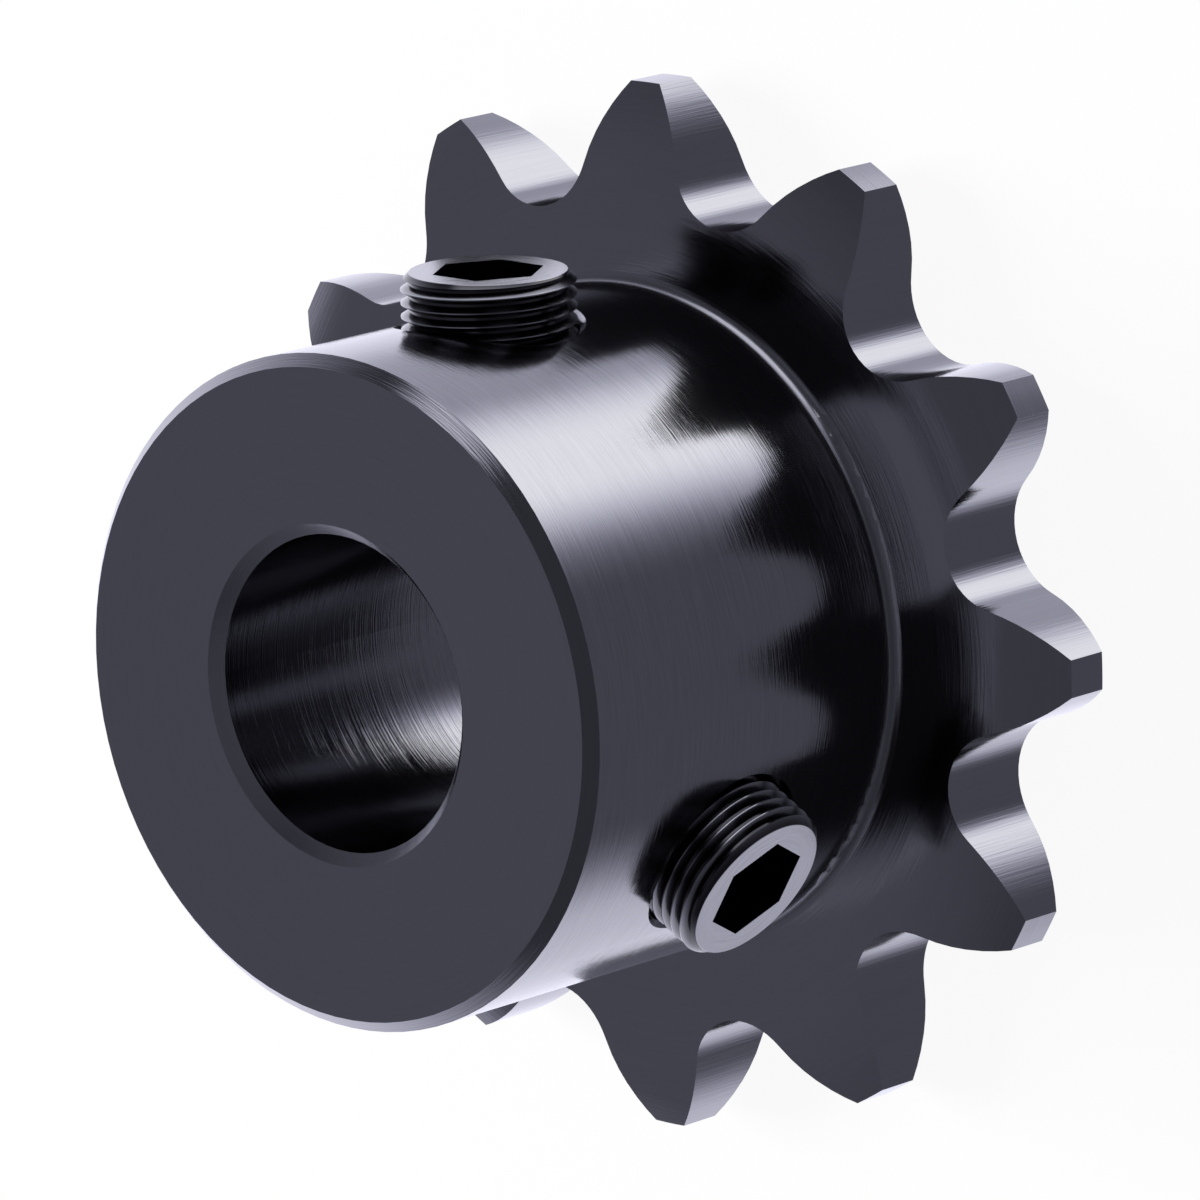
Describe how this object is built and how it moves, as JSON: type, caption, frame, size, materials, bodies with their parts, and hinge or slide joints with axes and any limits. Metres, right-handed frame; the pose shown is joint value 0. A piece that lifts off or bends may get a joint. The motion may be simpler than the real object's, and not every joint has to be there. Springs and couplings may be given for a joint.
{
  "type": "chain sprocket",
  "caption": "Small roller-chain sprocket with a hub on one side, a plain bore and two hex-socket set screws in the hub wall.",
  "frame": {"origin": "centre of the bore at the flat back face of the toothed plate", "axes": "+Z along the bore towards the hub's end, +X through set_screw_1 and the middle of one tooth"},
  "size_m": [0.0272, 0.0272, 0.014],
  "materials": {
    "body_steel": "blackened steel, turned and brushed, fine grain round the bore axis",
    "screw_steel": "blackened steel, satin"
  },
  "bodies": {
    "root": {"sprocket_body": "body_steel", "set_screw_1": "screw_steel", "set_screw_2": "screw_steel"}
  },
  "joints": []
}
